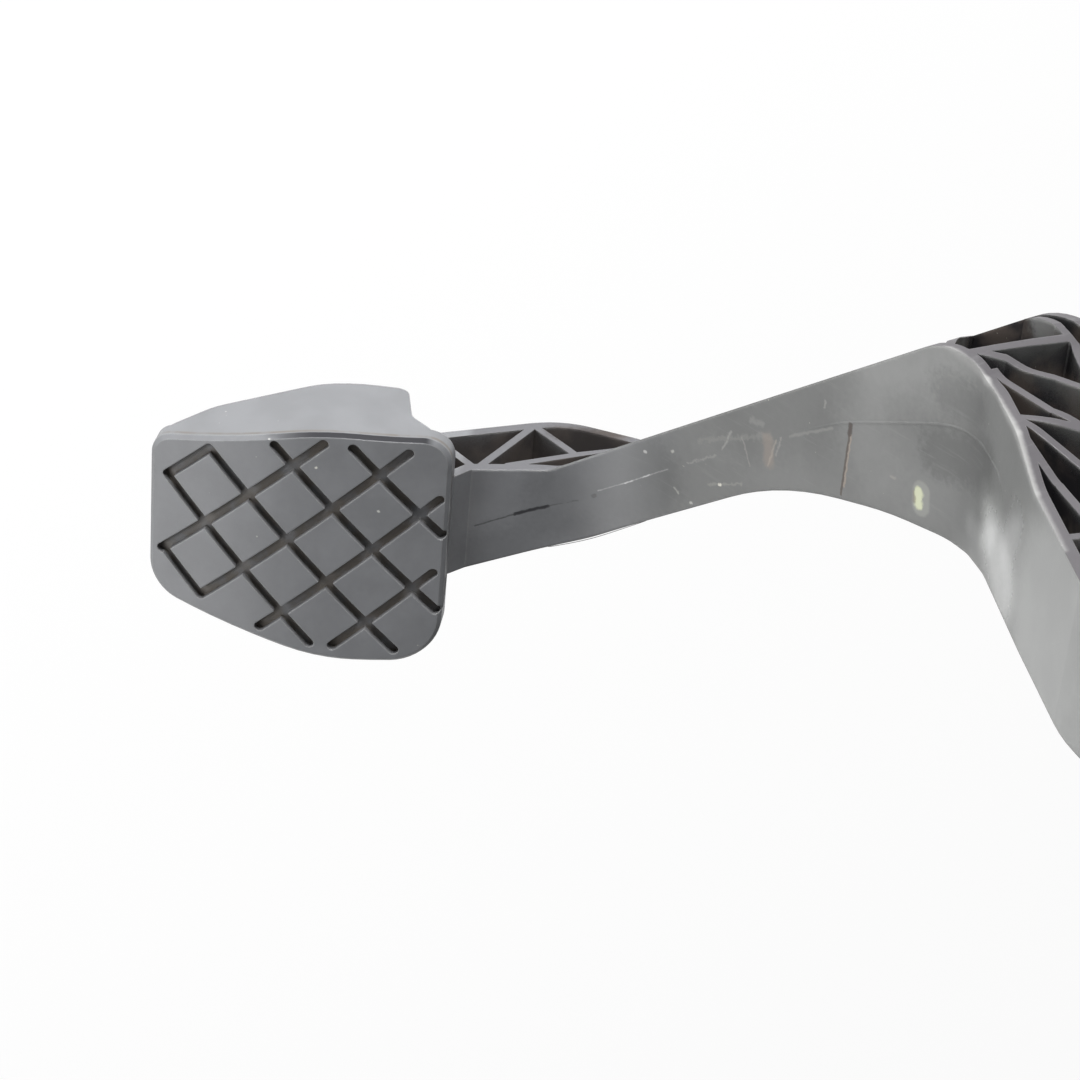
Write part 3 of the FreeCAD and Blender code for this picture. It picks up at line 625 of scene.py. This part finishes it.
    # dark line where the pad's face meets its skirt on the upper left: painted shade standing in for the
    # shadow of a crease
    rimBand = times(reached("depth", "creaseTop", (1100, -2000)),
                    reached("depth", "creaseFloor", (1100, -2150)), (1250, -2050))
    upperLeft = times(reached("across", "creaseLeft", (1100, -2300)),
                      reached("along", "creaseLow", (1100, -2450)), (1250, -2350))
    onRim = times(rimBand, reached("along", "creaseHigh", (1100, -2850)), (1350, -2750))
    creaseShade = times(onRim, upperLeft, (1450, -2200))
    color = blendColor(tree, creaseShade, color, leverFinish["creaseShade"], (1350, 300))

    # single marks; the pale bands along the strip's left edge among them are a painted highlight
    dents = 0.0
    for row, (*stroke, tint, strength) in enumerate(leverMarks.values()):
        low = 600 + 200 * row
        mask = strokeMask(tree, point, *stroke, (1200, low))
        color = blendColor(tree, times(mask, strength, (1400, low)), color, tint, (1600, low))
        if max(tint) < leverAmount["dentShade"]:
            dents = calc(tree, "MAXIMUM", dents, mask, (1800, low))
    for row, (along, across, spotSize, tint) in enumerate(padSpecks.values()):
        low = -1200 - 200 * row
        spot = padSpot(along, across)
        stroke = (spot, spot, spotSize * 0.5, leverAmount["speckSoft"], leverAmount["speckRagged"])
        mask = strokeMask(tree, point, *stroke, (1200, low))
        color = blendColor(tree, times(mask, leverAmount["specks"], (1400, low)), color, tint, (1600, low))
    links.new(color, shader.inputs["Base Color"])

    # shine: smoother up the arm, sharpest in the polished streaks, matt in the dirt
    high = reached("height", "smooth", (1200, -400))
    varied = times(quick, leverAmount["roughVaries"], (1200, -600))
    rough = calc(tree, "ADD", varied, leverAmount["rough"], (1350, -600))
    smoother = times(high, leverAmount["smoothHigh"], (1350, -400))
    rough = calc(tree, "SUBTRACT", rough, smoother, (1500, -500))
    for row, stroke in enumerate(polishStreaks.values()):
        low = -2800 - 220 * row
        mask = strokeMask(tree, point, *stroke, (1200, low))
        rough = calc(tree, "SUBTRACT", rough, times(mask, leverAmount["polish"], (1400, low)), (1600, low))
    rougher = times(shadeAndGrime, leverAmount["pocketRough"], (1700, -700))
    rough = calc(tree, "ADD", rough, rougher, (1800, -600), clamp=True)
    links.new(rough, shader.inputs["Roughness"])
    matt = calc(tree, "MAXIMUM", times(shadeAndGrime, leverAmount["pocketMatt"], (1800, -800)),
                times(creaseShade, leverAmount["creaseMatt"], (1800, -900)), (1900, -800))
    specular = calc(tree, "SUBTRACT", leverAmount["specular"], matt, (2000, -700))
    links.new(specular, shader.inputs["Specular IOR Level"])

    # relief: fine grain, rub lines and the deeper scratches
    relief = calc(tree, "SUBTRACT", times(grain.outputs["Height"], leverAmount["grainHeight"], (1900, -1000)),
                  times(rubbed, leverAmount["rubHeight"], (1900, -1150)), (2050, -1050))
    dented = times(dents, leverAmount["dentDepth"], (2050, -1250))
    relief = calc(tree, "SUBTRACT", relief, dented, (2200, -1100))
    bump = put(tree, "ShaderNodeBump", (2350, -900))
    bump.inputs["Strength"].default_value = leverAmount["bump"]
    bump.inputs["Distance"].default_value = leverAmount["bumpDistance"] * mm
    links.new(relief, bump.inputs["Height"])
    links.new(edge.outputs["Normal"], bump.inputs["Normal"])
    links.new(bump.outputs[0], shader.inputs["Normal"])
    return material


# rings left by turning, on top of the softened edge
def addRings(tree, point, edge, finish, shader):
    rings = put(tree, "ShaderNodeTexWave", (-700, -600), bands_direction="X")
    rings.inputs["Scale"].default_value = finish["ringScale"]
    rings.inputs["Distortion"].default_value = finish["ringWander"]
    tree.links.new(point, rings.inputs["Vector"])
    bump = put(tree, "ShaderNodeBump", (-300, -400))
    bump.inputs["Strength"].default_value = finish["ringStrength"]
    bump.inputs["Distance"].default_value = finish["ringHeight"] * mm
    tree.links.new(rings.outputs["Fac"], bump.inputs["Height"])
    tree.links.new(edge.outputs["Normal"], bump.inputs["Normal"])
    tree.links.new(bump.outputs[0], shader.inputs["Normal"])


bushFinish = {
    "clean": (0.40, 0.375, 0.32),
    "rubbed": (0.22, 0.2, 0.165),
    "cloud": (0.3, 4.0, 0.5, 0.4, 0.7),
    "cloudShare": 0.25,
    "shadeAndGrimeReach": 6.0,
    "edgeRadius": 0.3,
    "roughness": 0.38,
    "ringScale": 1.2,
    "ringWander": 0.6,
    "ringStrength": 0.15,
    "ringHeight": 0.02,
}


def makeBushPlastic():
    material = bpy.data.materials.new("bushPlastic")
    material.use_nodes = True
    tree = material.node_tree
    shader = tree.nodes["Principled BSDF"]
    point = place(tree, leverMap, (-1200, 0)).outputs["Point"]
    # painted shade and dirt: the bush darkens towards its rubbed colour in its hollows and in cloudy patches
    shadeAndGrime = place(tree, pocketShadeAndGrime, (-900, 200), Reach=bushFinish["shadeAndGrimeReach"] * mm).outputs["Mask"]
    edge = place(tree, softEdge, (-900, -300), Radius=bushFinish["edgeRadius"] * mm)
    cloud = cloudMask(tree, point, bushFinish["cloud"], (-1000, 400), (-800, 400))
    clouded = calc(tree, "MULTIPLY", cloud, bushFinish["cloudShare"], (-600, 400))
    shadeAndRub = calc(tree, "MAXIMUM", clouded, shadeAndGrime, (-450, 300), clamp=True)
    color = blendColor(tree, shadeAndRub, bushFinish["clean"], bushFinish["rubbed"], (-250, 300))
    tree.links.new(color, shader.inputs["Base Color"])
    shader.inputs["Roughness"].default_value = bushFinish["roughness"]
    addRings(tree, point, edge, bushFinish, shader)
    return material


sleeveFinish = {
    "zinc": (0.56, 0.565, 0.57),
    "dull": (0.33, 0.33, 0.32),
    "cloud": (0.5, 5.0, 0.5, 0.4, 0.75),
    "edgeRadius": 0.2,
    "roughness": 0.3,
    "dullRoughness": 0.18,
    "ringScale": 3.0,
    "ringWander": 1.2,
    "ringStrength": 0.25,
    "ringHeight": 0.01,
}


def makeSleeveSteel():
    material = bpy.data.materials.new("sleeveSteel")
    material.use_nodes = True
    tree = material.node_tree
    shader = tree.nodes["Principled BSDF"]
    shader.inputs["Metallic"].default_value = 1.0
    point = place(tree, leverMap, (-1200, 0)).outputs["Point"]
    edge = place(tree, softEdge, (-900, -300), Radius=sleeveFinish["edgeRadius"] * mm)
    cloud = cloudMask(tree, point, sleeveFinish["cloud"], (-1000, 400), (-800, 400))
    color = blendColor(tree, cloud, sleeveFinish["zinc"], sleeveFinish["dull"], (-250, 300))
    tree.links.new(color, shader.inputs["Base Color"])
    duller = calc(tree, "MULTIPLY", cloud, sleeveFinish["dullRoughness"], (-500, 100))
    rough = calc(tree, "ADD", duller, sleeveFinish["roughness"], (-300, 100))
    tree.links.new(rough, shader.inputs["Roughness"])
    addRings(tree, point, edge, sleeveFinish, shader)
    return material


def dress(node, material):
    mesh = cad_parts[node].data
    mesh.materials.clear()
    mesh.materials.append(material)


leverPlastic = makeLeverPlastic()
bushPlastic = makeBushPlastic()
dress("pedal_lever", leverPlastic)
dress("pivot_bush_right", bushPlastic)
dress("pivot_bush_left", bushPlastic)
dress("pivot_sleeve", makeSleeveSteel())
print("nodes dressed")


# thin moulding lines that stand on the lever's surface
def leverSurface():
    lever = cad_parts["pedal_lever"]
    corners = [lever.matrix_world @ vertex.co for vertex in lever.data.vertices]
    return BVHTree.FromPolygons(corners, [tuple(face.vertices) for face in lever.data.polygons])


def smoothPath(points, steps):
    path = []
    count = len(points)
    for index in range(count - 1):
        near = [Vector(points[min(max(index + shift, 0), count - 1)]) for shift in (-1, 0, 1, 2)]
        before, start, end, after = near
        for step in range(steps):
            t = step / steps
            path.append(0.5 * (2 * start + (end - before) * t
                               + (2 * before - 5 * start + 4 * end - after) * t ** 2
                               + (3 * start - before - 3 * end + after) * t ** 3))
    return path + [Vector(points[-1])]


def addToLever(name, corners, faces):
    mesh = bpy.data.meshes.new(name)
    mesh.from_pydata(corners, [], faces)
    for face in mesh.polygons:
        face.use_smooth = True
    mesh.materials.append(leverPlastic)
    item = bpy.data.objects.new(name, mesh)
    bpy.context.scene.collection.objects.link(item)
    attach(item, "lever")


partingLine = {
    "points": [(17.1, 47.1, -173.4), (12.0, 47.1, -166.9), (7.2, 47.1, -159.0), (1.8, 47.1, -147.3),
               (-2.6, 47.2, -137.1), (-4.4, 47.2, -132.1), (-5.2, 47.0, -128.0), (-5.4, 45.9, -123.6),
               (-5.6, 42.6, -117.5), (-5.7, 39.0, -112.2), (-4.4, 37.3, -109.6), (-3.0, 35.9, -107.5)],
    "steps": 8,
    "halfWidth": 0.45,
    "height": 0.17,
    "endHeight": 0.08,
    "taper": 2.0,
    "sunk": 0.03,
}


def addPartingLine(surface):
    path = [hung(point) * mm for point in smoothPath(partingLine["points"], partingLine["steps"])]
    corners = []
    for index, here in enumerate(path):
        spot, normal = surface.find_nearest(here)[:2]
        run = path[min(index + 1, len(path) - 1)] - path[max(index - 1, 0)]
        side = normal.cross(run).normalized() * (partingLine["halfWidth"] * mm)
        fromEnd = partingLine["taper"] * min(index, len(path) - 1 - index) / len(path)
        share = math.sin(math.pi * min(1.0, partingLine["endHeight"] + fromEnd) / 2)
        crest = spot + normal * (partingLine["height"] * share * mm)
        sunk = normal * (-partingLine["sunk"] * mm)
        corners += [spot + side + sunk, crest, spot - side + sunk]
    faces = []
    for index in range(len(path) - 1):
        low = 3 * index
        faces += [(low, low + 1, low + 4, low + 3), (low + 1, low + 2, low + 5, low + 4)]
    addToLever("partingLine", corners, faces)


# a bar of flash: a flat strip with a wavy free edge
def flashStrip(name, inner, reach, way, thickness):
    corners = []
    for here, out in zip(inner, reach):
        tip = here + way * out
        corners += [here + thickness, tip + thickness * 0.5, tip - thickness * 0.5, here - thickness]
    faces = []
    for index in range(len(inner) - 1):
        low = 4 * index
        faces += [(low + k, low + (k + 1) % 4, low + 4 + (k + 1) % 4, low + 4 + k) for k in range(4)]
    faces += [(3, 2, 1, 0), tuple(len(corners) - 4 + k for k in range(4))]
    addToLever(name, corners, faces)


padFlash = {
    "along": 34.9,
    "below": 7.15,
    "from": -17.5,
    "to": 16.5,
    "steps": 60,
    "seed": 4,
    "knots": 9,
    "leastWave": 0.15,
    "wave": 0.85,
    "leastReach": 0.15,
    "reach": 0.75,
    "endFade": 0.35,
    "thickness": 0.11,
}


def addPadFlash():
    wave = random.Random(padFlash["seed"])
    knots = [padFlash["leastWave"] + padFlash["wave"] * wave.random() for index in range(padFlash["knots"])]
    inner = []
    reach = []
    for step in range(padFlash["steps"] + 1):
        share = step / padFlash["steps"]
        across = padFlash["from"] + (padFlash["to"] - padFlash["from"]) * share
        at = share * (len(knots) - 1)
        low = min(int(at), len(knots) - 2)
        height = knots[low] + (knots[low + 1] - knots[low]) * (at - low)
        fade = math.sin(math.pi * share) ** padFlash["endFade"]
        inner.append(padCentre + Vector((across * mm, 0, 0)) + padAlong * (padFlash["along"] * mm)
                     - padOut * (padFlash["below"] * mm))
        reach.append((padFlash["leastReach"] + padFlash["reach"] * height * fade) * mm)
    flashStrip("padFlash", inner, reach, padAlong, padOut * (padFlash["thickness"] * mm))


armFlash = {
    "points": [(70.2, 36.3, -232.4), (67.2, 41.4, -226.9), (63.6, 44.6, -222.0), (60.0, 46.3, -217.2),
               (56.5, 46.9, -212.9)],
    "steps": 8,
    "bow": 0.42,
    "bowPlace": 0.7,
    "sunk": 0.08,
    "width": 0.16,
    "thickness": 0.08,
}


def addArmFlash(surface):
    path = smoothPath(armFlash["points"], armFlash["steps"])
    inner = []
    for index, point in enumerate(path):
        share = index / (len(path) - 1)
        bow = armFlash["bow"] * math.sin(math.pi * share ** armFlash["bowPlace"])
        spot = surface.find_nearest(hung(point) * mm)[0]
        inner.append(spot + Vector(((bow - armFlash["sunk"]) * mm, 0, 0)))
    reach = [armFlash["width"] * mm] * len(inner)
    flashStrip("armFlash", inner, reach, Vector((1, 0, 0)), hung((0, 1, 0)) * (armFlash["thickness"] * mm))


surface = leverSurface()
addPartingLine(surface)
addPadFlash()
addArmFlash(surface)
print("moulding lines added")

# camera as the photograph was taken
photoCamera = {
    "place": (-0.27431, -0.31616, 0.27167),
    "turn": (-32.554, -28.064, 94.981),
    "lens": 100.0,
    "sensor": 36.0,
    "clipStart": 0.01,
}


def makeCamera():
    lens = bpy.data.cameras.new("photoCamera")
    lens.lens = photoCamera["lens"]
    lens.sensor_width = photoCamera["sensor"]
    lens.clip_start = photoCamera["clipStart"]
    camera = bpy.data.objects.new("photoCamera", lens)
    camera.location = photoCamera["place"]
    camera.rotation_euler = [math.radians(angle) for angle in photoCamera["turn"]]
    bpy.context.scene.collection.objects.link(camera)
    bpy.context.scene.camera = camera


makeCamera()

# lamps stand the given ways from where they aim; powers in watts, lengths in metres
studio = {
    "aim": (0.06, -0.03, -0.2),
    "windowWay": (-0.97, -0.05, 0.2),
    "windowPower": 53.0,
    "lowWay": (0.501, -0.835, 0.217),
    "lowPower": 5.5,
    "frontWay": (0.0, -1.0, 0.08),
    "frontPower": 13.0,
    "topWay": (0.0, 0.1, 1.0),
    "topPower": 1.5,
    "lampWidth": 0.9,
    "lampAway": 1.4,
    "floorDrop": 0.55,
    "floorWidth": 12.0,
    "floorGrey": 0.9,
    "floorGlow": 0.9,
    "glowStrength": 1.0,
    "worldGrey": 0.15,
}


def makeLamp(name, way, power):
    lamp = bpy.data.lights.new(name, "AREA")
    lamp.shape = "DISK"
    lamp.size = studio["lampWidth"]
    lamp.energy = power
    stand = bpy.data.objects.new(name, lamp)
    way = Vector(way).normalized()
    stand.location = Vector(studio["aim"]) + way * studio["lampAway"]
    stand.rotation_euler = way.to_track_quat("Z", "Y").to_euler()
    bpy.context.scene.collection.objects.link(stand)


def makeFloor():
    half = studio["floorWidth"] / 2
    mesh = bpy.data.meshes.new("floor")
    corners = [(-half, -half, 0), (half, -half, 0), (half, half, 0), (-half, half, 0)]
    mesh.from_pydata(corners, [], [(0, 1, 2, 3)])
    floor = bpy.data.objects.new("floor", mesh)
    floor.location.z = -studio["floorDrop"]
    bpy.context.scene.collection.objects.link(floor)
    material = bpy.data.materials.new("paleFloor")
    material.use_nodes = True
    tree = material.node_tree
    tree.nodes.clear()
    dull = put(tree, "ShaderNodeBsdfDiffuse", (0, 0))
    dull.inputs["Color"].default_value = (studio["floorGrey"],) * 3 + (1,)
    glow = put(tree, "ShaderNodeEmission", (0, -200))
    glow.inputs["Strength"].default_value = studio["glowStrength"]
    path = put(tree, "ShaderNodeLightPath", (-400, 200))
    seen = calc(tree, "MAXIMUM", path.outputs["Is Camera Ray"], path.outputs["Is Glossy Ray"], (-200, 200))
    share = calc(tree, "MULTIPLY", seen, studio["floorGlow"], (0, 200))
    mix = put(tree, "ShaderNodeMixShader", (200, 0))
    tree.links.new(share, mix.inputs[0])
    tree.links.new(dull.outputs[0], mix.inputs[1])
    tree.links.new(glow.outputs[0], mix.inputs[2])
    target = put(tree, "ShaderNodeOutputMaterial", (400, 0))
    tree.links.new(mix.outputs[0], target.inputs[0])
    mesh.materials.append(material)


def makeWorld():
    world = bpy.data.worlds.new("studio")
    world.use_nodes = True
    tree = world.node_tree
    tree.nodes.clear()
    grey = put(tree, "ShaderNodeBackground", (0, 0))
    grey.inputs["Color"].default_value = (studio["worldGrey"],) * 3 + (1,)
    white = put(tree, "ShaderNodeBackground", (0, -200))
    white.inputs["Color"].default_value = (1, 1, 1, 1)
    path = put(tree, "ShaderNodeLightPath", (-200, 200))
    mix = put(tree, "ShaderNodeMixShader", (200, 0))
    tree.links.new(path.outputs["Is Camera Ray"], mix.inputs[0])
    tree.links.new(grey.outputs[0], mix.inputs[1])
    tree.links.new(white.outputs[0], mix.inputs[2])
    target = put(tree, "ShaderNodeOutputWorld", (400, 0))
    tree.links.new(mix.outputs[0], target.inputs[0])
    bpy.context.scene.world = world


for lampName in ("window", "low", "front", "top"):
    makeLamp(lampName + "Lamp", studio[lampName + "Way"], studio[lampName + "Power"])
makeFloor()
makeWorld()
bpy.context.scene.view_settings.view_transform = "Standard"
print("studio made")
